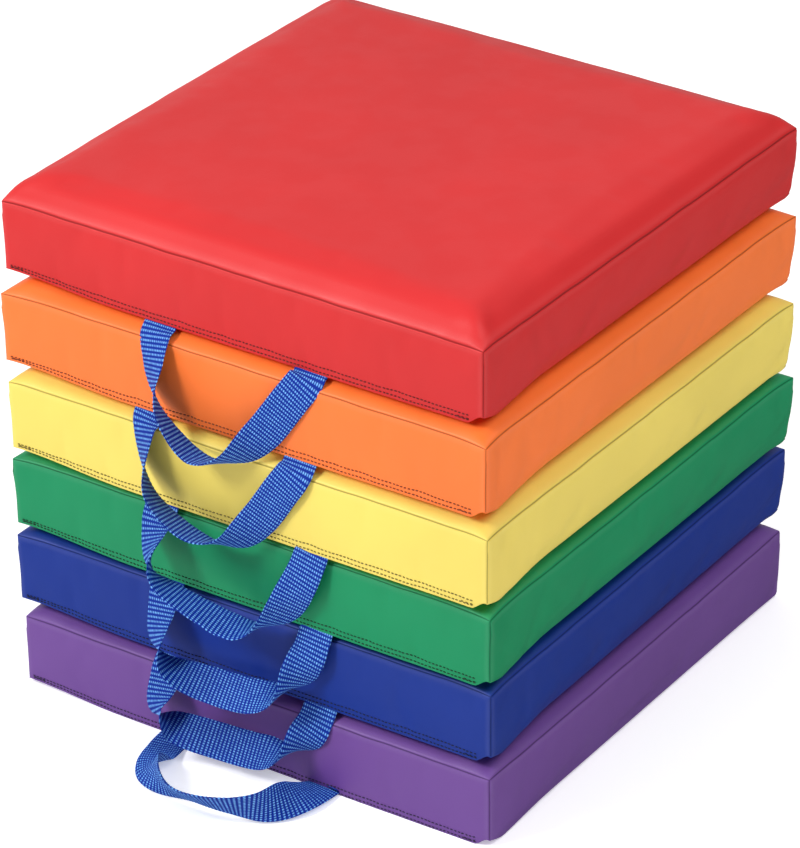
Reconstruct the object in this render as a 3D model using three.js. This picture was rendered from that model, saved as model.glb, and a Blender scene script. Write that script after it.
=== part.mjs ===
// A set of six square floor cushions, stacked. Each has a foam block in a sewn vinyl cover
// and a webbing carrying handle that is caught in the closing seam along its front edge.
// Millimetres. X runs along the front edge, Y into the depth, Z up. The origin is the middle
// of the lowest cushion's footprint, on the floor.
import * as THREE from 'three';

// Cushion
const SIDE = 381;            // width and depth, from seam to seam
const WALL_HEIGHT = 51;      // from the closing seam to the top seam
const VINYL = 1;             // thickness of the cover
const ROLL = 34;             // width of the rounded band inside each seam
const BASE_SWELL = 3;        // how far the base panel stands below the closing seam
const SEAM_GAP = 0.3;        // between two panels that are sewn together
const FOAM_CLEARANCE = 0.5;  // between the foam and its cover
const REST_GAP = 0.3;        // between one cushion and the next
const ROLL_STEPS = 5;

// Closing seam: two rows of stitches, sewn as one long ring
const STITCH_LOW = 2.6;      // from the bottom edge of the front wall to the lower row
const STITCH_ROWS = 2.8;     // between the rows
const STITCH_THREAD = 0.8;
const STITCH_INSET = 5;      // from the corners of the front wall

// Handle
const WEB_WIDTH = 25.4;
const WEB_THICKNESS = 1.6;
const WEB_STEPS = 44;
const ROOT_HALF_SPAN = 60;   // from the middle of the handle to the middle of each sewn end
const ROOT_OUT = 1.5;        // from the front wall to the middle of the webbing's thickness
const ROOT_DOWN = 2;         // from the closing seam to the end of the webbing

// Each cushion, from the floor up. shift and turn are how it lies on the stack; swell is how far
// its top stands above the top seam. A handle's route is a list of stations from its left end to
// its right: x along the front, out from the front wall, up from the closing seam, and the
// webbing's turn in degrees about its own length. lean is the loop's plane, 0 hanging to 90 flat.
const CUSHIONS = [
  {
    name: 'purple', colour: 0x825ca0, shift: [0, 0], turn: 0.35, swell: 9.5,
    handleX: -1, lean: 90,
    route: [
      [-58, 19, -1, 0], [-51, 42, 3, -12], [-38, 61, 10, -65], [-10, 74, 11, -128],
      [20, 74, 12, -128], [46, 62, 12, -102], [59, 33, 8, -35],
    ],
  },
  {
    name: 'blue', colour: 0x28489b, shift: [-2.5, 3], turn: 0.55, swell: 6.5,
    handleX: -3, lean: 0,
    route: [
      [-61, 10, -17, 0], [-57, 26, -34, -30], [-43, 23, -44, -110], [-12, 17, -48, -140],
      [20, 16, -46, -135], [44, 16, -38, -80], [57, 10, -20, -10],
    ],
  },
  {
    name: 'green', colour: 0x2da06e, shift: [1, 1], turn: 0, swell: 6.5,
    handleX: -5, lean: 0,
    route: [
      [-61, 8, -20, -5], [-56, 22, -41, -30], [-42, 25, -56, -90], [-12, 19, -63, -135],
      [20, 19, -60, -130], [44, 17, -49, -85], [57, 9, -24, -12],
    ],
  },
  {
    name: 'yellow', colour: 0xf0e17d, shift: [2.5, -2.5], turn: -0.15, swell: 10.5,
    handleX: -6, lean: 0,
    route: [
      [-61, 9, -19, -5], [-54, 26, -35, -35], [-40, 31, -46, -75], [-12, 28, -58, -90],
      [17, 22, -66, -95], [39, 13, -54, -50], [54, 8, -27, -8],
    ],
  },
  {
    name: 'orange', colour: 0xfa8c5a, shift: [-1, 1], turn: -0.15, swell: 9.5,
    handleX: -12, lean: 0,
    route: [
      [-61, 10, -15, -20], [-54, 21, -38, -48], [-40, 27, -56, -66], [-11, 25, -72, -74],
      [15, 19, -71, -50], [34, 13, -51, -20], [51, 11, -25, -8], [59, 8, -12, 0],
    ],
  },
  {
    name: 'red', colour: 0xe4504e, shift: [-4.5, 8], turn: -0.55, swell: 13,
    handleX: -2, lean: 0,
    route: [
      [-61, 11, -10, 0], [-60, 16, -23, -15], [-54, 23, -41, -40], [-42, 27, -60, -62],
      [-15, 27, -80, -72], [9, 24, -75, -48], [30, 16, -52, -14], [50, 15, -24, -5],
      [59, 11, -10, 0],
    ],
  },
];

function vinyl(colour) {
  return new THREE.MeshStandardMaterial({ color: colour, roughness: 0.45, metalness: 0 });
}

const FOAM = new THREE.MeshStandardMaterial({ color: 0xe8dfc4, roughness: 0.95, metalness: 0 });
const WEBBING = new THREE.MeshStandardMaterial({ color: 0x1748a6, roughness: 0.8, metalness: 0 });

// A square solid whose half-width changes with height: rings of [half-width, z] from one flat
// square end to the other.
function squareRings(rings) {
  const profile = rings.map(([half, z]) => new THREE.Vector2(half * Math.SQRT2, z));
  profile.unshift(new THREE.Vector2(0, rings[0][1]));
  profile.push(new THREE.Vector2(0, rings[rings.length - 1][1]));
  const solid = new THREE.LatheGeometry(profile, 4, Math.PI / 4);
  return solid.rotateX(Math.PI / 2);
}

// How high a swelling panel stands at a distance in from its seam.
function swellAt(inset, swell) {
  const t = Math.min(inset / ROLL, 1);
  return swell * Math.sin(t * Math.PI / 2);
}

// Rings from the seam in to the flat middle of a panel. first is where the rings begin, in from
// the seam; from and swell are the height at the seam and how much the panel rises over the roll.
function rollRings(first, from, swell) {
  const rings = [];
  for (let i = 0; i <= ROLL_STEPS; i += 1) {
    const inset = first + (ROLL - first) * i / ROLL_STEPS;
    rings.push([SIDE / 2 - inset, from + swellAt(inset, swell)]);
  }
  return rings;
}

// A panel that swells away from the cushion: side is 1 for the top and -1 for the base.
function crownedPanel(seam, swell, side) {
  const rise = swell - SEAM_GAP - VINYL;
  const inner = rollRings(0, 0, rise).map(([half, z]) => [half, seam + side * (SEAM_GAP + z)]);
  const outer = inner.map(([half, z]) => [half, z + side * VINYL]);
  const rings = [...inner.reverse(), ...outer];
  return squareRings(side > 0 ? rings : rings.reverse());
}

function coverTop(cushion) {
  return crownedPanel(WALL_HEIGHT, cushion.swell, 1);
}

function coverBase() {
  return crownedPanel(0, BASE_SWELL, -1);
}

// The foam fills the cover, less a clearance all round.
function foamCore(cushion) {
  const edge = VINYL + FOAM_CLEARANCE;
  const topRise = cushion.swell - SEAM_GAP - VINYL;
  const baseRise = BASE_SWELL - SEAM_GAP - VINYL;
  const top = rollRings(edge, WALL_HEIGHT + SEAM_GAP - FOAM_CLEARANCE, topRise);
  const base = rollRings(edge, SEAM_GAP - FOAM_CLEARANCE, baseRise);
  return squareRings([...base.map(([half, z]) => [half, -z]).reverse(), ...top]);
}

function wallAcross() {
  return new THREE.BoxGeometry(SIDE, VINYL, WALL_HEIGHT);
}

function wallAlong() {
  return new THREE.BoxGeometry(VINYL, SIDE - 2 * (VINYL + SEAM_GAP), WALL_HEIGHT);
}

function rectangle(Outline, width, height) {
  const outline = new Outline();
  outline.moveTo(-width / 2, -height / 2);
  outline.lineTo(width / 2, -height / 2);
  outline.lineTo(width / 2, height / 2);
  outline.lineTo(-width / 2, height / 2);
  outline.closePath();
  return outline;
}

// Both rows of the closing seam, joined at their ends, standing against the front wall.
function closingStitch() {
  const length = SIDE - 2 * STITCH_INSET;
  const ring = rectangle(THREE.Shape, length, STITCH_ROWS + STITCH_THREAD);
  ring.holes.push(rectangle(THREE.Path, length - 2 * STITCH_THREAD, STITCH_ROWS - STITCH_THREAD));
  const rows = new THREE.ExtrudeGeometry(ring, { depth: STITCH_THREAD, bevelEnabled: false });
  return rows.rotateX(Math.PI / 2);
}

// The webbing's middle line and its turn, as two curves with the same stations.
function handleCurves(cushion) {
  const root = (side) => [side * ROOT_HALF_SPAN, ROOT_OUT, -ROOT_DOWN, 0];
  const stations = [root(-1), ...cushion.route, root(1)];
  const middle = stations.map(([x, out, up]) => new THREE.Vector3(x, -out, up));
  const turn = stations.map(([, , , degrees]) => new THREE.Vector3(degrees, 0, 0));
  return {
    middle: new THREE.CatmullRomCurve3(middle, false, 'catmullrom', 0.5),
    turn: new THREE.CatmullRomCurve3(turn, false, 'catmullrom', 0.5),
  };
}

// The webbing's width and thickness directions at a share t of the way along.
function webbingFrame(curves, lean, t) {
  const plane = new THREE.Vector3(0, -Math.cos(lean), Math.sin(lean));
  const along = curves.middle.getTangent(t);
  if (t === 0 || t === 1) along.projectOnPlane(new THREE.Vector3(1, 0, 0)).normalize();
  const across = along.clone().cross(plane).normalize();
  const face = across.clone().cross(along);
  const turn = THREE.MathUtils.degToRad(curves.turn.getPoint(t).x);
  const width = across.multiplyScalar(Math.cos(turn)).addScaledVector(face, Math.sin(turn));
  return { width, thickness: along.clone().cross(width).normalize() };
}

// A straight strip, bent along the handle's route.
function handle(cushion) {
  const curves = handleCurves(cushion);
  const lean = THREE.MathUtils.degToRad(cushion.lean);
  const strip = new THREE.BoxGeometry(WEB_WIDTH, WEB_THICKNESS, 1, 1, 1, WEB_STEPS);
  const place = strip.attributes.position;
  for (let i = 0; i < place.count; i += 1) {
    const t = Math.round((place.getZ(i) + 0.5) * WEB_STEPS) / WEB_STEPS;
    const { width, thickness } = webbingFrame(curves, lean, t);
    const point = curves.middle.getPoint(t);
    point.addScaledVector(width, place.getX(i)).addScaledVector(thickness, place.getY(i));
    place.setXYZ(i, point.x, point.y, point.z);
  }
  return strip;
}

function piece(name, geometry, material, x = 0, y = 0, z = 0) {
  const mesh = new THREE.Mesh(geometry, material);
  mesh.name = name;
  mesh.position.set(x, y, z);
  return mesh;
}

// One cushion, with its closing seam at height 0 of its own group.
function makeCushion(cushion) {
  const { name } = cushion;
  const cover = vinyl(cushion.colour);
  const group = new THREE.Group();
  const face = SIDE / 2 - VINYL / 2;
  const middle = WALL_HEIGHT / 2;
  const stitchHeight = STITCH_LOW + (STITCH_ROWS + STITCH_THREAD) / 2;
  group.add(
    piece(`${name}_foam_core`, foamCore(cushion), FOAM),
    piece(`${name}_cover_top`, coverTop(cushion), cover),
    piece(`${name}_cover_base`, coverBase(), cover),
    piece(`${name}_wall_front`, wallAcross(), cover, 0, -face, middle),
    piece(`${name}_wall_back`, wallAcross(), cover, 0, face, middle),
    piece(`${name}_wall_left`, wallAlong(), cover, -face, 0, middle),
    piece(`${name}_wall_right`, wallAlong(), cover, face, 0, middle),
    piece(`${name}_closing_stitch`, closingStitch(), cover, 0, -SIDE / 2 - SEAM_GAP, stitchHeight),
    piece(`${name}_handle`, handle(cushion), WEBBING, cushion.handleX, -SIDE / 2, 0),
  );
  return group;
}

// Each cushion rests on the top of the one below it.
function makeStack() {
  const stack = new THREE.Group();
  let seam = BASE_SWELL;
  for (const cushion of CUSHIONS) {
    const group = makeCushion(cushion);
    group.position.set(cushion.shift[0], cushion.shift[1], seam);
    group.rotation.z = THREE.MathUtils.degToRad(cushion.turn);
    stack.add(group);
    seam += WALL_HEIGHT + cushion.swell + REST_GAP + BASE_SWELL;
  }
  return stack;
}

export default makeStack();
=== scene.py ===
"""A stack of six boxed floor cushions: foam in sewn vinyl covers, with webbing carrying handles.

Sizes inside the making of a piece are in millimetres; a finished mesh is in metres.
"""
import math

import bpy
import numpy as np
from mathutils import Matrix, Vector


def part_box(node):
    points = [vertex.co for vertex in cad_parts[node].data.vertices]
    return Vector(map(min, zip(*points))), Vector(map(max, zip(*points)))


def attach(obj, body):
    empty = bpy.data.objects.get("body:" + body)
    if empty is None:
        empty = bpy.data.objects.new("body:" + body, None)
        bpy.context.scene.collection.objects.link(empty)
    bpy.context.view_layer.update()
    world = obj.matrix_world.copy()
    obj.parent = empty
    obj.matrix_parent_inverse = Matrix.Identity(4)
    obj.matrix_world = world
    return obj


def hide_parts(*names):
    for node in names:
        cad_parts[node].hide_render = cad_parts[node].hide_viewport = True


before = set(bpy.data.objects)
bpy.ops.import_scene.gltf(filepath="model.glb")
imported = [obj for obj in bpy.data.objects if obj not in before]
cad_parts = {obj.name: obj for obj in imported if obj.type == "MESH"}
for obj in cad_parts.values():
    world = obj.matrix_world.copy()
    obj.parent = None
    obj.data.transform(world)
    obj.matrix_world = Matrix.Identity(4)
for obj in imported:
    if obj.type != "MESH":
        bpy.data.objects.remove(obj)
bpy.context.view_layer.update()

MM = 0.001

# ---------------------------------------------------------------- the cushions
# turn is how the cushion lies on the stack, flare how far its corners stand out, crease how deep
# the folds of its side walls are, under the radius it turns under by at the back and the sides.
# on_floor is the lowest cushion, full the uppermost one, which nothing presses down.
# lean, handle_x and route are its handle's: the tilt of the plane the loop lies in, where the
# loop's middle is, and its stations from the left end to the right, as x along the front, out
# from the front wall, up from the closing seam, and the webbing's turn about its own length.
UNDER_ROUND = 9.0
CUSHIONS = [
    dict(name="purple", turn=0.35, handle_x=-1, lean=90, vinyl=(0x70, 0x48, 0x96), flare=1.0,
         seed=3, crease=0.9, under=4.5, on_floor=True, full=False,
         route=[(-58, 19, -1, 0), (-51, 42, 3, -12), (-38, 61, 10, -65), (-10, 74, 11, -128),
                (20, 74, 12, -128), (46, 62, 12, -102), (59, 33, 8, -35)]),
    dict(name="blue", turn=0.55, handle_x=-3, lean=0, vinyl=(0x08, 0x30, 0x90), flare=3.2,
         seed=7, crease=0.9, under=UNDER_ROUND, on_floor=False, full=False,
         route=[(-61, 10, -17, 0), (-57, 26, -34, -30), (-43, 23, -44, -110),
                (-12, 17, -48, -140), (20, 16, -46, -135), (44, 16, -38, -80),
                (57, 10, -20, -10)]),
    dict(name="green", turn=0, handle_x=-5, lean=0, vinyl=(0x06, 0x90, 0x5C), flare=4.3,
         seed=11, crease=1.7, under=UNDER_ROUND, on_floor=False, full=False,
         route=[(-61, 8, -20, -5), (-56, 22, -41, -30), (-42, 25, -56, -90),
                (-12, 19, -63, -135), (20, 19, -60, -130), (44, 17, -49, -85),
                (57, 9, -24, -12)]),
    dict(name="yellow", turn=-0.15, handle_x=-6, lean=0, vinyl=(0xEE, 0xD6, 0x64), flare=3.3,
         seed=13, crease=0.6, under=UNDER_ROUND, on_floor=False, full=False,
         route=[(-61, 9, -19, -5), (-54, 26, -35, -35), (-40, 31, -46, -75),
                (-12, 28, -58, -90), (17, 22, -66, -95), (39, 13, -54, -50),
                (54, 8, -27, -8)]),
    dict(name="orange", turn=-0.15, handle_x=-12, lean=0, vinyl=(0xFA, 0x78, 0x30), flare=4.2,
         seed=17, crease=1.3, under=UNDER_ROUND, on_floor=False, full=False,
         route=[(-60.5, 9, -15, -20), (-54, 19, -38, -48), (-40, 26, -56, -68),
                (-11, 25, -72, -74), (15, 19, -71, -50), (34, 13, -51, -20),
                (51, 11, -25, -8), (59, 8, -12, 0)]),
    dict(name="red", turn=-0.55, handle_x=-2, lean=0, vinyl=(0xD0, 0x24, 0x26), flare=2.4,
         seed=23, crease=0.8, under=UNDER_ROUND, on_floor=False, full=True,
         route=[(-60, 8, -10, -2), (-57.5, 14, -23, -18), (-53, 21, -41, -41),
                (-40, 27, -60, -64), (-15, 27, -79, -76), (11, 24, -73, -58),
                (31, 16, -52, -20), (50, 12, -24, -5), (59, 8, -10, 0)]),
]

# cover
FINE_STEP, COARSE_STEP = 3.8, 7.2    # between the points of the cover, finished and while it swells
CLOSE = (0, 0.45, 1.0, 1.7, 2.6, 4.0, 6.0, 8.5, 11.5, 15.0, 19.0, 24.0, 29.0, 34.0)
ROLL = 14.0              # width of the rounded band inside the top seams
FULL_ROLL = 9.5          # the tighter roll of a full cushion, along its left and back seams
CORNER_ROUND = 2.4       # the upright corners
SEAM_ROUND = 1.3         # the edges that meet in a top seam
LIP_ROUND = 0.9          # the fold below the closing stitches
GROOVE = 0.35            # how far a seam sinks
FULLNESS = 1.5           # how far a side stands out between its corners
START = 0.98             # share of the crown that is there before the cover is swollen
SWELL_FRAMES = 20        # how long the cover swells
SWELL_MOST = 1.6         # how far swelling moves a point at most
LIP_BOW = 4.2            # how far the lip hangs in the middle of the front

# closing stitches
STITCH_LOW, STITCH_ROWS = 2.6, 2.8   # height of the lower row, and from row to row
STITCH_PITCH, STITCH_LENGTH, STITCH_THREAD = 2.9, 2.3, 0.95

# webbing
WEB_WIDTH, WEB_THICKNESS = 25.4, 1.6
WEB_STEP = 0.55          # between the points along it
RELIEF, RELIEF_SINK = 0.42, 0.3      # height of the weave, and how far it lies in the thickness
ROOT_HALF_SPAN = 60.0
RIB, YARN = 2.9, 1.7     # from rib to rib along the webbing, and from yarn to yarn across it
SLANT = 0.18             # how far a yarn leans from rib to rib, in yarns


def measured(cushion):
    """The cushion's place and sizes from the frame, in millimetres."""
    name, turn = cushion["name"], math.radians(cushion["turn"])
    low, high = (np.array(corner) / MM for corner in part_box(f"{name}_cover_top"))
    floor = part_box(f"{name}_cover_base")[0][2] / MM
    wall = [corner[2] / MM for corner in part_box(f"{name}_wall_front")]
    side = (high - low)[0] / (math.cos(turn) + abs(math.sin(turn)))
    return dict(cushion, half=side / 2, wall=wall[1] - wall[0], swell=high[2] - wall[1],
                base=wall[0] - floor, place=np.array([*(high + low)[:2] / 2, wall[0]]))


def place(points, cushion):
    """Points of a cushion's own frame, moved to where it lies, in metres."""
    turn = math.radians(cushion["turn"])
    spin = np.array([[math.cos(turn), -math.sin(turn), 0],
                     [math.sin(turn), math.cos(turn), 0], [0, 0, 1]])
    return (points @ spin.T + cushion["place"]) * MM


def new_object(name, points, faces):
    mesh = bpy.data.meshes.new(name)
    mesh.from_pydata([tuple(p) for p in points], [], [tuple(f) for f in faces])
    mesh.polygons.foreach_set("use_smooth", [True] * len(mesh.polygons))
    mesh.update()
    piece = bpy.data.objects.new(name, mesh)
    bpy.context.scene.collection.objects.link(piece)
    return piece


def keep_value(piece, name, values):
    layer = piece.data.attributes.new(name, "FLOAT", "POINT")
    layer.data.foreach_set("value", np.asarray(values, np.float32))


def feed(tree, socket, value):
    """Links an output to the socket, or sets a plain value on it."""
    if isinstance(value, bpy.types.NodeSocket):
        tree.links.new(value, socket)
    else:
        socket.default_value = value


# ---------------------------------------------------------------- the cover's form
def ease(t):
    t = np.clip(t, 0, 1)
    return t * t * (3 - 2 * t)


def graded(length, step, close=()):
    """Stations along a length, set close together near both ends."""
    near = [d for d in close if d < length / 2 - step / 2]
    start = near[-1] + step if near else 0
    count = max(2, round((length - 2 * start) / step) + 1)
    return np.array([*near, *np.linspace(start, length - start, count),
                     *(length - d for d in reversed(near))])


class Skin:
    """A closed box of square cells: p holds x, y and height of its points before shaping."""

    def __init__(self, half, wall, step, close=()):
        self.across = graded(2 * half, step, close) - half
        self.up = graded(wall, step, close)
        n, m = len(self.across), len(self.up)
        self.number = -np.ones((n, n, m), int)
        i, j, k = np.indices(self.number.shape)
        skin = (i % (n - 1) == 0) | (j % (n - 1) == 0) | (k % (m - 1) == 0)
        self.number[skin] = np.arange(skin.sum())
        self.p = np.stack([self.across[i[skin]], self.across[j[skin]], self.up[k[skin]]], 1)
        num = self.number
        self.sides = [num[:, :, -1], num[:, :, 0], num[:, 0], num[:, -1], num[0], num[-1]]

    def faces(self):
        found = []
        for side, flip in zip(self.sides, (0, 1, 0, 1, 1, 0)):
            corners = (side[:-1, :-1], side[1:, :-1], side[1:, 1:], side[:-1, 1:])
            quads = np.stack(corners, -1).reshape(-1, 4)
            found.append(quads[:, ::-1] if flip else quads)
        return np.concatenate(found)


def fold(w, radius):
    """A right-angled edge, rounded: how far in from one face and from the other at w from it."""
    angle = (1 - np.clip(w / radius, -1, 1)) * math.pi / 4
    inward = radius * (1 - np.cos(angle))
    along = radius * (1 - np.sin(angle)) + np.maximum(w - radius, 0)
    return inward, along


def rounded_box(p, half, wall, under):
    """The points with the box's edges rounded, each edge by its own radius.

    under is the radius of the lower edges at the back and the sides, and of the feet of the
    two upright corners at the back.
    """
    a, b, c = p.T
    to_x, to_y = half - abs(a), half - abs(b)
    top = c > wall / 2
    to_z = np.where(top, wall - c, c)
    under_x = LIP_ROUND + (under - LIP_ROUND) * ease((b + half) / 80)
    under_y = np.where(b < 0, LIP_ROUND, under)
    edge_x, edge_y = np.where(top, SEAM_ROUND, under_x), np.where(top, SEAM_ROUND, under_y)
    on_x, on_y, on_z = to_x == 0, to_y == 0, to_z == 0
    upright = np.where(b > 0, CORNER_ROUND + (under - CORNER_ROUND) * ease(1 - c / 30),
                       CORNER_ROUND)
    upright_x, upright_y = fold(to_x, upright), fold(to_y, upright)
    level_x, level_y = fold(to_x, edge_x), fold(to_y, edge_y)
    in_x = np.where(on_x, upright_y[0] + fold(to_z, edge_x)[0],
                    np.maximum(np.where(on_y, upright_x[1], 0), np.where(on_z, level_x[1], 0)))
    in_y = np.where(on_y, upright_x[0] + fold(to_z, edge_y)[0],
                    np.maximum(np.where(on_x, upright_y[1], 0), np.where(on_z, level_y[1], 0)))
    along_z = np.where(on_x, fold(to_z, edge_x)[1], fold(to_z, edge_y)[1])
    foot = ease(1 - to_z / np.where(on_x, edge_x, edge_y)) * (on_x | on_y)
    along_z = along_z + np.where(on_x, level_y[0], level_x[0]) * foot
    in_z = np.where(on_z & ~on_x & ~on_y, level_x[0] + level_y[0], along_z)
    return np.stack([np.sign(a) * (half - in_x), np.sign(b) * (half - in_y),
                     np.where(top, wall - in_z, in_z)], 1)


def crown(p, half, full):
    """0 along the seams to 1 in the middle: a quick roll, then a slow swell.

    A full cushion rolls over more tightly along its left and back seams.
    """
    share = np.ones(len(p))
    for axis in (0, 1):
        inset = half - abs(p[:, axis])
        roll = 1 - (1 - np.clip(inset / ROLL, 0, 1)) ** 1.85
        if full:
            tight = (1 - (1 - np.clip(inset / FULL_ROLL, 0, 1)) ** 2.1) ** 0.6
            roll = np.where(p[:, axis] * (2 * axis - 1) > 0, tight, roll)
        corner = ease((half - abs(p[:, 1 - axis])) / 22)
        share *= roll * (0.93 + 0.07 * ease(inset / (half * 0.6))) * (0.72 + 0.28 * corner)
    return share


def ripple(s, seed, length):
    """A gentle waver along a seam, between -1 and 1."""
    random = np.random.RandomState(seed)
    total = np.zeros_like(s)
    for share in (1.0, 0.61, 0.37):
        total += share * np.sin(2 * math.pi * (s / (length * share) + random.rand()))
    return total / 1.98


def lip_drop(x, half):
    """How far the lip below the closing stitches hangs under the closing seam."""
    from_left = ease((x + half) / 95)
    nose = 1 - 1.7 * ease((x - half + 13) / 11)
    return LIP_BOW * from_left * nose


def form(p, cushion, swell):
    """The cover's shape without its seams: crowned, its sides drawn in, turned under below."""
    half, wall, base = cushion["half"], cushion["wall"], cushion["base"]
    a, b, c = p.T
    q = rounded_box(p, half, wall, cushion["under"])
    on_top, on_base = c == wall, c == 0
    if cushion["full"]:
        swell = swell * (1.30 - 0.12 * (b + half) / (2 * half))
    q[:, 2] += on_top * swell * crown(p, half, cushion["full"])
    down = ease(1 - c / 16)
    side_down = base * down * np.where(on_base, 1, ease((b + half) / 30) * (abs(b) <= half))
    front = np.exp(-(b + half) / 9) * down
    inner = on_base * ease((b + half) / 18)
    q[:, 2] -= np.where(on_base, np.maximum(inner * base, 0), side_down)
    q[:, 2] -= front * lip_drop(a, half)
    ear = 0.7 + 0.3 * ease((c - wall * 0.3) / (wall * 0.7))
    for axis, other in ((0, 1), (1, 0)):
        share = abs(p[:, axis]) / half
        to_corner = half - abs(p[:, other])
        flared = cushion["flare"] * ear * np.exp(-to_corner / 16)
        out = flared + FULLNESS * (1 - np.exp(-to_corner / 40))
        q[:, axis] += np.sign(p[:, axis]) * out * share ** 6
    return q


def creases(p, cushion):
    """Soft slanting folds of the side walls near their front corners, as a move outwards."""
    half, wall = cushion["half"], cushion["wall"]
    random = np.random.RandomState(cushion["seed"])
    total = np.zeros(len(p))
    for number in range(5):
        start, lean, width = random.uniform((14, -0.9, 3.6), (22, 0.9, 6.5)) + (17 * number, 0, 0)
        off = p[:, 1] + half - start - lean * (p[:, 2] - wall / 2)
        height = np.sin(math.pi * np.clip(p[:, 2] / wall, 0, 1)) ** 0.6
        total += random.uniform(-1, 1) * np.exp(-(off / width) ** 2) * height * 0.86 ** number
    return total * cushion["crease"] * (abs(p[:, 0]) == half)


def seam_distance(p, half, wall):
    """How far a point is from the nearest sewn seam: the top seams and the upright corners."""
    a, b, c = p.T
    to_x, to_y = half - abs(a), half - abs(b)
    level = np.hypot(wall - c, np.minimum(to_x, to_y))
    upright = np.where(c == 0, 99, np.hypot(to_x, to_y))
    upright = np.where(c == wall, 99, upright)
    return np.minimum(level, upright)


def sewn(q, p, cushion):
    """Sinks the seams and lets them waver a little."""
    half, wall, seed = cushion["half"], cushion["wall"], cushion["seed"]
    a, b, c = p.T
    distance = seam_distance(p, half, wall)
    at_corner = np.exp(-np.hypot(half - abs(a), half - abs(b)) / 6) * (c > wall * 0.8)
    sink = GROOVE * (1 + 2 * at_corner) * np.exp(-(distance / (0.75 + 1.5 * at_corner)) ** 1.5)
    near_x, near_y = np.exp(-(half - abs(a)) / 1.5), np.exp(-(half - abs(b)) / 1.5)
    near_z = np.exp(-(wall - c) / 1.5)
    inward = np.stack([-np.sign(a) * near_x, -np.sign(b) * near_y, -near_z], 1)
    inward /= np.maximum(np.linalg.norm(inward, axis=1, keepdims=True), 1e-6)
    q = q + inward * sink[:, None]
    around = np.where(abs(a) > abs(b), b, a) + np.where(abs(a) > abs(b), 2 * np.sign(a), 0) * half
    waver = ripple(around, seed, 74) * np.exp(-distance / 7)
    q[:, 2] += 0.35 * waver * (c > wall * 0.6)
    q[:, 0] += np.sign(a) * creases(p, cushion)
    return q


# ---------------------------------------------------------------- swelling the cover
def mixing(fine, coarse):
    """Weights that carry values at even coarse stations smoothly to fine ones."""
    step = coarse[1] - coarse[0]
    along = np.clip((fine - coarse[0]) / step, 0, len(coarse) - 1 - 1e-9)
    first = along.astype(int)
    t = along - first
    shares = (-0.5 * t ** 3 + t ** 2 - 0.5 * t, 1.5 * t ** 3 - 2.5 * t ** 2 + 1,
              -1.5 * t ** 3 + 2 * t ** 2 + 0.5 * t, 0.5 * t ** 3 - 0.5 * t ** 2)
    weights = np.zeros((len(fine), len(coarse)))
    rows = np.arange(len(fine))
    for offset, share in zip((-1, 0, 1, 2), shares):
        np.add.at(weights, (rows, np.clip(first + offset, 0, len(coarse) - 1)), share)
    return weights


def carried(moved, coarse, fine):
    """Moves of a coarse skin's points, carried to a fine skin."""
    across, up = mixing(fine.across, coarse.across), mixing(fine.up, coarse.up)
    out = np.zeros((len(fine.p), 3))
    for index, (few, many) in enumerate(zip(coarse.sides, fine.sides)):
        second = across if index < 2 else up
        out[many] = np.einsum("ai,ijk,bj->abk", across, moved[few], second)
    return out


def inflated(cushion):
    """Lets the sewn cover swell under pressure, its seams held: how far each point moves."""
    skin = Skin(cushion["half"], cushion["wall"], COARSE_STEP)
    start = form(skin.p, cushion, cushion["swell"] * START)
    cover = new_object(f"{cushion['name']}_swelling", start * MM, skin.faces())
    held = cover.vertex_groups.new(name="seams")
    a, b, c = skin.p.T
    half, wall = cushion["half"], cushion["wall"]
    edge_x, edge_y = abs(a) > half - 1, abs(b) > half - 1
    seam = ((c > wall - 1) & (edge_x | edge_y)) | (edge_x & edge_y) | ((c < 1) & (b < 1 - half))
    held.add([int(i) for i in np.flatnonzero(seam)], 1.0, "REPLACE")
    cloth = cover.modifiers.new("cloth", "CLOTH")
    settings = cloth.settings
    settings.vertex_group_mass = "seams"
    settings.quality = 5
    settings.mass = 0.3
    settings.tension_stiffness = settings.compression_stiffness = 12
    settings.bending_stiffness = 1.5
    settings.use_pressure = True
    settings.uniform_pressure_force = 4
    settings.shrink_min = -0.003
    settings.effector_weights.gravity = 0
    cloth.point_cache.frame_start, cloth.point_cache.frame_end = 1, SWELL_FRAMES
    for number in range(1, SWELL_FRAMES + 1):
        bpy.context.scene.frame_set(number)
    ready = cover.evaluated_get(bpy.context.evaluated_depsgraph_get())
    end = np.zeros(len(start) * 3)
    ready.data.vertices.foreach_get("co", end)
    bpy.data.objects.remove(cover)
    bpy.context.scene.frame_set(1)
    return skin, end.reshape(-1, 3) / MM - start


def capped(moves, most):
    """The moves with their lengths kept under the most, without a sharp limit."""
    length = np.linalg.norm(moves, axis=1, keepdims=True)
    return moves * np.minimum(1, most * np.tanh(length / most) / np.maximum(length, 1e-9))


def settled(q, p, cushion):
    """Flat where the next cushion rests and where it stands, and within its own walls."""
    half, wall, swell, base = (cushion[k] for k in ("half", "wall", "swell", "base"))
    most = 1.5 if cushion["full"] else 0.25 + 0.75 * crown(p, half, False)
    q[:, 2] = np.where(p[:, 2] == wall, np.minimum(q[:, 2], wall + swell * most), q[:, 2])
    lip = -base if cushion["on_floor"] else -LIP_BOW * 1.3
    q[:, 2] = np.maximum(q[:, 2], np.where(p[:, 1] < 20 - half, lip, -base))
    return q


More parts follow.
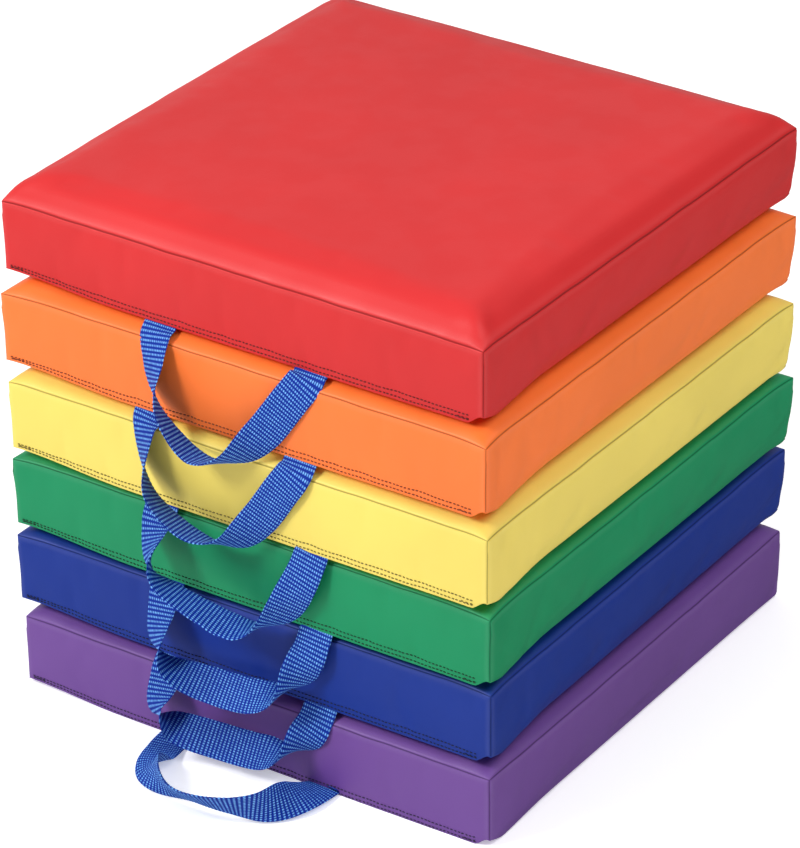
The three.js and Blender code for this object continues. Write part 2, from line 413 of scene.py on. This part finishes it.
def make_cover(cushion):
    """One padded skin for a cushion's foam, panels and walls."""
    fine = Skin(cushion["half"], cushion["wall"], FINE_STEP, CLOSE)
    q = form(fine.p, cushion, cushion["swell"])
    coarse, moves = inflated(cushion)
    start = form(fine.p, cushion, cushion["swell"] * START)
    q = start + carried(capped(moves, SWELL_MOST), coarse, fine)
    q = settled(q, fine.p, cushion)
    q = sewn(q, fine.p, cushion)
    name = cushion["name"]
    cover = new_object(f"{name}_cover", place(q, cushion), fine.faces())
    keep_value(cover, "seam", seam_distance(fine.p, cushion["half"], cushion["wall"]))
    cover.data.materials.append(vinyl(cushion))
    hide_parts(*(f"{name}_{part}" for part in (
        "foam_core", "cover_top", "cover_base", "wall_front", "wall_back", "wall_left",
        "wall_right")))
    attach(cover, f"{name}_cushion")
    return fine, q


# ---------------------------------------------------------------- closing stitches
def stitch_tree():
    """Lays one stitch after another along the lines it is given."""
    tree = bpy.data.node_groups.new("closing stitches", "GeometryNodeTree")
    face = tree.interface
    face.new_socket("Lines", in_out="INPUT", socket_type="NodeSocketGeometry")
    for label in ("Pitch", "Length", "Thread"):
        face.new_socket(label, in_out="INPUT", socket_type="NodeSocketFloat")
    face.new_socket("Seed", in_out="INPUT", socket_type="NodeSocketInt")
    face.new_socket("Finish", in_out="INPUT", socket_type="NodeSocketMaterial")
    face.new_socket("Stitches", in_out="OUTPUT", socket_type="NodeSocketGeometry")
    nodes, links = tree.nodes, tree.links
    given, result = nodes.new("NodeGroupInput"), nodes.new("NodeGroupOutput")

    def node(kind, **sockets):
        made = nodes.new(kind)
        for key, value in sockets.items():
            feed(tree, made.inputs[key.replace("_", " ")], value)
        return made

    curve = node("GeometryNodeMeshToCurve", Mesh=given.outputs["Lines"])
    spaced = nodes.new("GeometryNodeResampleCurve")
    spaced.mode = "LENGTH"
    links.new(curve.outputs[0], spaced.inputs["Curve"])
    links.new(given.outputs["Pitch"], spaced.inputs["Length"])
    stitch = node("GeometryNodeMeshUVSphere", Segments=8, Rings=6, Radius=0.5)
    size = node("ShaderNodeCombineXYZ", X=given.outputs["Thread"], Y=given.outputs["Thread"],
                Z=given.outputs["Length"])
    shaped = node("GeometryNodeTransform", Geometry=stitch.outputs[0], Scale=size.outputs[0])
    tangent = nodes.new("GeometryNodeInputTangent")
    turned = nodes.new("FunctionNodeAlignEulerToVector")
    turned.axis = "Z"
    links.new(tangent.outputs[0], turned.inputs["Vector"])
    vary = nodes.new("FunctionNodeRandomValue")
    vary.data_type = "FLOAT_VECTOR"
    vary.inputs[0].default_value = (-0.45, -0.12, -0.45)
    vary.inputs[1].default_value = (0.45, 0.12, 0.45)
    links.new(given.outputs["Seed"], vary.inputs["Seed"])
    tilted = nodes.new("FunctionNodeRotateEuler")
    links.new(turned.outputs[0], tilted.inputs["Rotation"])
    links.new(vary.outputs[0], tilted.inputs["Rotate By"])
    laid = node("GeometryNodeInstanceOnPoints", Points=spaced.outputs[0],
                Instance=shaped.outputs[0], Rotation=tilted.outputs[0])
    real = node("GeometryNodeRealizeInstances", Geometry=laid.outputs[0])
    smooth = node("GeometryNodeSetShadeSmooth", Geometry=real.outputs[0])
    finish = node("GeometryNodeSetMaterial", Geometry=smooth.outputs[0],
                  Material=given.outputs["Finish"])
    links.new(finish.outputs[0], result.inputs[0])
    return tree


def grown(piece, tree, values):
    """Gives the piece the tree's result as its plain mesh."""
    modifier = piece.modifiers.new("grow", "NODES")
    modifier.node_group = tree
    for item in tree.interface.items_tree:
        if item.in_out == "INPUT" and item.name in values:
            modifier[item.identifier] = values[item.name]
    ready = piece.evaluated_get(bpy.context.evaluated_depsgraph_get())
    mesh = bpy.data.meshes.new_from_object(ready)
    piece.modifiers.remove(modifier)
    piece.data = mesh


def make_stitches(cushion, skin, shaped, tree):
    """Two rows along the foot of the front wall, each end worked over a few times."""
    half, name = cushion["half"], cushion["name"]
    x = np.linspace(6 - half, half - 12, 200)
    points, lines = [], []
    for row in (0, 1):
        apart = STITCH_ROWS * (0.6 + 0.4 * ease((x + half) / 90))
        height = STITCH_LOW + row * apart + ripple(x, cushion["seed"] + row, 60) * 0.25
        first = len(points)
        points += list(on_front(shaped, skin, x, height) + (0, -0.08, 0))
        lines += [(first + i, first + i + 1) for i in range(len(x) - 1)]
    for start in (7 - half, half - 19):
        again = np.linspace(start, start + 7, 9)
        first = len(points)
        points += list(on_front(shaped, skin, again, STITCH_LOW + 0.5) + (0, -0.3, 0))
        lines += [(first + i, first + i + 1) for i in range(8)]
    mesh = bpy.data.meshes.new(f"{name}_stitches")
    mesh.from_pydata([tuple(p) for p in place(np.array(points), cushion)], lines, [])
    piece = bpy.data.objects.new(f"{name}_stitches", mesh)
    bpy.context.scene.collection.objects.link(piece)
    grown(piece, tree, {"Pitch": STITCH_PITCH * MM, "Length": STITCH_LENGTH * MM,
                        "Thread": STITCH_THREAD * MM, "Seed": cushion["seed"],
                        "Finish": thread(cushion)})
    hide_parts(f"{name}_closing_stitch")
    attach(piece, f"{name}_cushion")


def on_front(shaped, skin, x, height):
    """Points of the shaped front wall, x along it and a height up it."""
    wall = shaped[skin.sides[2]]
    level = np.searchsorted(skin.up, height, side="right") - 1
    share = (height - skin.up[level]) / (skin.up[level + 1] - skin.up[level])
    pick = np.arange(len(x))
    found = []
    for axis in range(3):
        rows = np.array([np.interp(x, skin.across, wall[:, k, axis])
                         for k in range(len(skin.up))])
        found.append(rows[level, pick] * (1 - share) + rows[level + 1, pick] * share)
    return np.stack(found, 1)


# ---------------------------------------------------------------- carrying handles
def smooth_line(stations, count):
    """The even Catmull-Rom line through the stations, and its direction."""
    s = np.asarray(stations, float)
    padded = np.vstack([2 * s[0] - s[1], s, 2 * s[-1] - s[-2]])
    u = np.linspace(0, len(s) - 1, count)
    i = np.minimum(u.astype(int), len(s) - 2)
    t = (u - i)[:, None]
    a, b, c, d = padded[i], padded[i + 1], padded[i + 2], padded[i + 3]
    point = 0.5 * ((2 * b) + (c - a) * t + (2 * a - 5 * b + 4 * c - d) * t ** 2
                   + (3 * b - a - 3 * c + d) * t ** 3)
    slope = 0.5 * ((c - a) + 2 * (2 * a - 5 * b + 4 * c - d) * t
                   + 3 * (3 * b - a - 3 * c + d) * t ** 2)
    return point, slope


def unit(v):
    return v / np.maximum(np.linalg.norm(v, axis=-1, keepdims=True), 1e-9)


def webbing_frames(cushion):
    """Evenly spaced middle points of the webbing, with its width and thickness directions.

    Both ends are tucked in behind the lip, where they are sewn.
    """
    foot = -1.0 if cushion["on_floor"] else -4.4
    ends = [[(side * ROOT_HALF_SPAN, -1.0, 1.5, 0), (side * (ROOT_HALF_SPAN + 0.4), 0.9, foot, 0)]
            for side in (-1, 1)]
    route = [*ends[0], *cushion["route"], *reversed(ends[1])]
    stations = [(x, -out, up, turn) for x, out, up, turn in route]
    raw, _ = smooth_line(stations, 1200)
    run = np.concatenate([[0], np.cumsum(np.linalg.norm(np.diff(raw[:, :3], axis=0), axis=1))])
    count = round(run[-1] / WEB_STEP) + 1
    even = np.interp(np.linspace(0, run[-1], count), run, np.linspace(0, 1, 1200))
    fine, slope = smooth_line(stations, 4801)
    pick = np.round(even * 4800).astype(int)
    point, slope = fine[pick], slope[pick]
    along = unit(slope[:, :3])
    for end in (0, -1):
        along[end] = unit(along[end] * (0, 1, 1))
    lean = math.radians(cushion["lean"])
    plane = np.array([0, -math.cos(lean), math.sin(lean)])
    across = unit(np.cross(along, plane))
    face = np.cross(across, along)
    turn = np.radians(point[:, 3:4])
    width = across * np.cos(turn) + face * np.sin(turn)
    return point[:, :3], width, unit(np.cross(along, width)), np.linspace(0, run[-1], count)


def weave_relief(u, v):
    """Height of the weave at u across and v along the webbing, both in millimetres."""
    rib = abs(np.sin(math.pi * v / RIB)) ** 0.8
    yarn = abs(np.sin(math.pi * (u / YARN + SLANT * v / RIB)))
    return rib * (0.55 + 0.45 * yarn)


def make_handle(cushion, web_finish):
    """A loop of woven webbing: a closed ring of points, carried along its route."""
    point, width, thick, run = webbing_frames(cushion)
    columns = np.linspace(-1, 1, 43)
    top = np.sqrt(np.clip(1 - abs(columns) ** 10, 0, 1)) * 0.9 + 0.1
    loop_u = np.concatenate([columns, columns[::-1]]) * (WEB_WIDTH / 2)
    loop_t = np.concatenate([top, -top[::-1]]) * (WEB_THICKNESS / 2)
    side = np.repeat([1, -1], len(columns))
    relief = weave_relief(loop_u[None, :], run[:, None]) * RELIEF - RELIEF_SINK
    depth = loop_t[None, :] + side[None, :] * relief
    points = (point[:, None] + width[:, None] * loop_u[None, :, None]
              + thick[:, None] * depth[:, :, None])
    rows, ring = depth.shape
    points = points.reshape(-1, 3) + (cushion["handle_x"], -cushion["half"], 0)
    number = np.arange(rows * ring).reshape(rows, ring)
    after = np.roll(number, -1, axis=1)
    quads = np.stack([number[:-1], number[1:], after[1:], after[:-1]], -1).reshape(-1, 4)
    caps = [list(number[0]), list(number[-1][::-1])]
    name, faces = cushion["name"], [*quads.tolist(), *caps]
    handle = new_object(f"{name}_webbing_handle", place(points, cushion), faces)
    web = handle.data.uv_layers.new(name="webbing")
    corner = np.zeros(len(handle.data.loops), int)
    handle.data.loops.foreach_get("vertex_index", corner)
    uv = np.stack([np.tile(loop_u, rows), np.repeat(run, ring)], 1)[corner] * 0.01
    web.data.foreach_set("uv", uv.astype(np.float32).ravel())
    handle.data.materials.append(web_finish)
    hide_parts(f"{name}_handle")
    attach(handle, f"{name}_carrying_handle")


# ---------------------------------------------------------------- finishes
def linear(rgb):
    """A colour given as 0-255 parts, as the shader wants it."""
    parts = [(v / 255 / 12.92) if v <= 10 else ((v / 255 + 0.055) / 1.055) ** 2.4 for v in rgb]
    return (*parts, 1)


def group(name, inputs, outputs):
    """An empty shader group with named sockets: (tree, its inputs, its outputs)."""
    tree = bpy.data.node_groups.new(name, "ShaderNodeTree")
    kinds = {"value": "NodeSocketFloat", "colour": "NodeSocketColor",
             "vector": "NodeSocketVector"}
    for label, kind, value in inputs:
        socket = tree.interface.new_socket(label, in_out="INPUT", socket_type=kinds[kind])
        if value is not None:
            socket.default_value = value
    for label, kind in outputs:
        tree.interface.new_socket(label, in_out="OUTPUT", socket_type=kinds[kind])
    return tree, tree.nodes.new("NodeGroupInput").outputs, tree.nodes.new("NodeGroupOutput").inputs


def put(tree, kind, inputs=(), **settings):
    """Adds a node; inputs are (socket, value or output) pairs."""
    node = tree.nodes.new(kind)
    for key, value in settings.items():
        setattr(node, key, value)
    for key, value in dict(inputs).items():
        feed(tree, node.inputs[key], value)
    return node


def math_node(tree, operation, first, second=0.0):
    return put(tree, "ShaderNodeMath", {0: first, 1: second}, operation=operation).outputs[0]


def times(tree, first, second):
    return math_node(tree, "MULTIPLY", first, second)


def plus(tree, first, second):
    return math_node(tree, "ADD", first, second)


def blend_colour(tree, amount, first, second):
    colours = {0: amount, 6: first, 7: second}
    return put(tree, "ShaderNodeMix", data_type="RGBA", inputs=colours).outputs[2]


def ramp(tree, value, low, high, to_low=0.0, to_high=1.0):
    """The value taken smoothly from low..high to to_low..to_high, and held beyond them."""
    return put(tree, "ShaderNodeMapRange", {
        "Value": value, "From Min": low, "From Max": high, "To Min": to_low, "To Max": to_high,
    }, interpolation_type="SMOOTHSTEP").outputs[0]


def noise(tree, vector, scale, detail):
    return put(tree, "ShaderNodeTexNoise", {
        "Vector": vector, "Scale": scale, "Detail": detail}).outputs[0]


def bump(tree, height, strength, distance):
    return put(tree, "ShaderNodeBump", {
        "Strength": strength, "Distance": distance, "Height": height}).outputs[0]


def vinyl_grain():
    """Fine pebbled grain of coated fabric, with a soft unevenness under it."""
    tree, given, result = group(
        "vinyl grain", [("Place", "vector", None), ("Grain", "value", 1700.0)],
        [("Height", "value"), ("Sheen", "value"), ("Mottle", "value")])
    spot = given["Place"]
    cells = put(tree, "ShaderNodeTexVoronoi", {"Vector": spot, "Scale": given["Grain"]},
                feature="SMOOTH_F1")
    fine, soft, wide = (noise(tree, spot, *kind) for kind in (
        (620.0, 3.0), (9.0, 2.0), (34.0, 4.0)))
    pebbles = times(tree, cells.outputs["Distance"], 0.8)
    height = plus(tree, pebbles, times(tree, fine, 0.5))
    tree.links.new(height, result["Height"])
    tree.links.new(ramp(tree, wide, 0.3, 0.7), result["Sheen"])
    tree.links.new(ramp(tree, soft, 0.3, 0.7), result["Mottle"])
    return tree


def seam_shade():
    """Darkens the sunk line of a seam and paints a highlight on the edge beside it."""
    tree, given, result = group(
        "seam shade", [("Distance", "value", 50.0)], [("Line", "value"), ("Painted edge highlight", "value")])
    tree.links.new(ramp(tree, given["Distance"], 0.1, 0.85, 1.0, 0.0), result["Line"])
    # painted highlight: a band about 0.8 to 5.5 mm from the seam, where the rolled edge would catch
    # the light
    near = ramp(tree, given["Distance"], 0.8, 1.8)
    far = ramp(tree, given["Distance"], 2.2, 5.5, 1.0, 0.0)
    tree.links.new(times(tree, near, far), result["Painted edge highlight"])
    return tree


def weave_pattern():
    """Ribs and yarns of heavy webbing from its own measure: u across and v along, in cm; with a mask
    for a painted highlight on the raised yarns.
    """
    tree, given, result = group(
        "webbing weave", [("Measure", "vector", None), ("Rib", "value", RIB / 100),
                          ("Yarn", "value", YARN / 100)],
        [("Painted yarn highlight", "value"), ("Height", "value"), ("Fibre", "value")])
    parts = put(tree, "ShaderNodeSeparateXYZ", {0: given["Measure"]}).outputs
    ribs = math_node(tree, "DIVIDE", parts[1], given["Rib"])
    slant = times(tree, ribs, SLANT)
    yarns = plus(tree, math_node(tree, "DIVIDE", parts[0], given["Yarn"]), slant)
    rib, yarn = (math_node(tree, "ABSOLUTE", math_node(tree, "SINE", times(
        tree, count, math.pi))) for count in (ribs, yarns))
    raised = times(tree, rib, plus(tree, times(tree, yarn, 0.7), 0.3))
    cell = put(tree, "ShaderNodeCombineXYZ", {
        0: math_node(tree, "FLOOR", ribs), 1: math_node(tree, "FLOOR", yarns)}).outputs[0]
    # painted highlight: strongest on the crowns of the raised yarns, some yarn cells painted
    # brighter than others
    chance = put(tree, "ShaderNodeTexWhiteNoise", {"Vector": cell}, noise_dimensions="2D")
    bright = plus(tree, times(tree, chance.outputs["Value"], 0.45), 0.65)
    painted_highlight = times(tree, ramp(tree, raised, 0.45, 0.95), bright)
    tree.links.new(painted_highlight, result["Painted yarn highlight"])
    tree.links.new(raised, result["Height"])
    stretched = put(tree, "ShaderNodeMapping", {
        "Vector": given["Measure"], "Scale": (420, 90, 1)})
    tree.links.new(noise(tree, stretched.outputs[0], 1.0, 2.0), result["Fibre"])
    return tree


GROUPS = {}


def use(tree, name, inputs):
    """Adds one of the shared groups: its outputs."""
    return put(tree, "ShaderNodeGroup", inputs, node_tree=GROUPS[name]).outputs


def new_finish(name, **uniform):
    """A material with only its shader: (material, tree, the shader's inputs)."""
    material = bpy.data.materials.new(name)
    material.use_nodes = True
    shader = material.node_tree.nodes["Principled BSDF"]
    for key, value in uniform.items():
        shader.inputs[key.replace("_", " ")].default_value = value
    return material, material.node_tree, shader.inputs


def vinyl(cushion):
    """Semi-gloss vinyl in the cushion's colour, with a painted highlight beside its seams."""
    material, tree, shader = new_finish(f"{cushion['name']} vinyl", Specular_IOR_Level=0.36, IOR=1.5)
    where = put(tree, "ShaderNodeTexCoord").outputs["Object"]
    grain = use(tree, "vinyl grain", {"Place": where})
    seam = put(tree, "ShaderNodeAttribute", attribute_name="seam").outputs["Fac"]
    shade = use(tree, "seam shade", {"Distance": seam})
    base = linear(cushion["vinyl"])
    deep = tuple(v * 0.86 for v in base[:3]) + (1,)
    # pale is the vinyl made a little whiter: the colour of the painted highlight beside the seams
    pale = tuple(v + (1 - v) * 0.06 for v in base[:3]) + (1,)
    dark = tuple(v * 0.36 for v in base[:3]) + (1,)
    colour = blend_colour(tree, times(tree, grain["Mottle"], 0.45), base, deep)
    # painted highlight beside the seams, blended in at a quarter strength
    colour = blend_colour(tree, times(tree, shade["Painted edge highlight"], 0.25), colour, pale)
    colour = blend_colour(tree, times(tree, shade["Line"], 0.9), colour, dark)
    tree.links.new(colour, shader["Base Color"])
    rough = ramp(tree, grain["Sheen"], 0.0, 1.0, 0.46, 0.53)
    rough = plus(tree, rough, times(tree, shade["Line"], 0.4))
    tree.links.new(rough, shader["Roughness"])
    tree.links.new(bump(tree, grain["Height"], 0.16, 0.0004), shader["Normal"])
    return material


def thread(cushion):
    """Spun thread a shade darker than the vinyl it closes."""
    material, tree, shader = new_finish(f"{cushion['name']} thread", Roughness=0.7)
    where = put(tree, "ShaderNodeTexCoord").outputs["Object"]
    strands = noise(tree, where, 2600.0, 2.0)
    base = linear(cushion["vinyl"])
    dark, light = (tuple(v ** 1.2 * k for v in base[:3]) + (1,) for k in (0.07, 0.30))
    tree.links.new(blend_colour(tree, strands, dark, light), shader["Base Color"])
    tree.links.new(bump(tree, strands, 0.5, 0.0002), shader["Normal"])
    return material


def webbing():
    """Blue webbing: its blue ground, with a painted highlight in pale blue on the raised yarns."""
    material, tree, shader = new_finish("blue webbing", Roughness=0.62, Specular_IOR_Level=0.15)
    measure = put(tree, "ShaderNodeUVMap", uv_map="webbing").outputs[0]
    weave = use(tree, "webbing weave", {"Measure": measure})
    # painted highlight: the webbing's blue blended towards pale blue on the raised yarns
    colour = blend_colour(tree, weave["Painted yarn highlight"], linear((0, 40, 146)), linear((124, 190, 255)))
    soft = times(tree, weave["Fibre"], 0.3)
    tree.links.new(blend_colour(tree, soft, colour, linear((2, 44, 140))), shader["Base Color"])
    height = plus(tree, weave["Height"], soft)
    tree.links.new(bump(tree, height, 0.6, 0.0003), shader["Normal"])
    return material


def studio_floor():
    """A pale sweep that gives off a little light of its own."""
    material, tree, shader = new_finish("pale floor", Roughness=0.9, Emission_Strength=0.4)
    shader["Emission Color"].default_value = (1, 1, 1, 1)
    where = put(tree, "ShaderNodeTexCoord").outputs["Object"]
    cloud = noise(tree, where, 1.5, 1.0)
    colour = blend_colour(tree, cloud, (0.9, 0.9, 0.9, 1), (0.93, 0.93, 0.93, 1))
    tree.links.new(colour, shader["Base Color"])
    return material


# ---------------------------------------------------------------- studio
def add_camera():
    """A long lens, to the right of the front corner and looking down on the stack."""
    azimuth, elevation, roll = (math.radians(v) for v in (34.39, 29.18, -0.717))
    aim, distance = Vector((0.0138, -0.0277, 0.190)), 3.2808
    turn = (Matrix.Rotation(azimuth, 3, "Z") @ Matrix.Rotation(math.pi / 2 - elevation, 3, "X")
            @ Matrix.Rotation(roll, 3, "Z"))
    data = bpy.data.cameras.new("camera")
    data.lens, data.sensor_width, data.clip_end = 204.46, 36.0, 50.0
    camera = bpy.data.objects.new("camera", data)
    where = aim + distance * (turn @ Vector((0, 0, 1)))
    camera.matrix_world = Matrix.Translation(where) @ turn.to_4x4()
    bpy.context.scene.collection.objects.link(camera)
    bpy.context.scene.camera = camera


def add_light(name, towards, distance, size, power):
    """A square softbox that faces the middle of the stack."""
    data = bpy.data.lights.new(name, "AREA")
    data.shape, data.size, data.energy = "SQUARE", size, power
    light = bpy.data.objects.new(name, data)
    direction = Vector(towards).normalized()
    light.location = direction * distance + Vector((0, 0, 0.2))
    light.rotation_euler = direction.to_track_quat("Z", "Y").to_euler()
    bpy.context.scene.collection.objects.link(light)


def add_room():
    """A room that is bright towards the left and above, and dim on the right."""
    world = bpy.data.worlds.new("studio")
    world.use_nodes = True
    tree = world.node_tree
    way = put(tree, "ShaderNodeTexCoord").outputs["Generated"]
    bright = put(tree, "ShaderNodeVectorMath", {0: way, 1: (-0.80, 0.10, 0.59)},
                 operation="DOT_PRODUCT").outputs["Value"]
    light = ramp(tree, bright, -0.25, 0.75, 0.06, 0.66)
    tree.nodes["Background"].inputs["Color"].default_value = (1, 1, 1, 1)
    tree.links.new(light, tree.nodes["Background"].inputs["Strength"])
    bpy.context.scene.world = world


def add_studio():
    add_room()
    add_light("key", (-0.45, -0.78, 0.72), 2.4, 0.65, 34.5)
    add_light("fill", (0.66, -0.20, 0.95), 2.4, 1.4, 31)
    floor = new_object("floor", [(-6, -6, 0), (6, -6, 0), (6, 6, 0), (-6, 6, 0)], [(0, 1, 2, 3)])
    floor.data.materials.append(studio_floor())
    floor.visible_glossy = False
    bpy.context.scene.view_settings.view_transform = "Standard"


def make_stack():
    GROUPS.update({"vinyl grain": vinyl_grain(), "seam shade": seam_shade(),
                   "webbing weave": weave_pattern()})
    stitches, web = stitch_tree(), webbing()
    for cushion in map(measured, CUSHIONS):
        skin, shaped = make_cover(cushion)
        make_stitches(cushion, skin, shaped, stitches)
        make_handle(cushion, web)


add_camera()
make_stack()
add_studio()
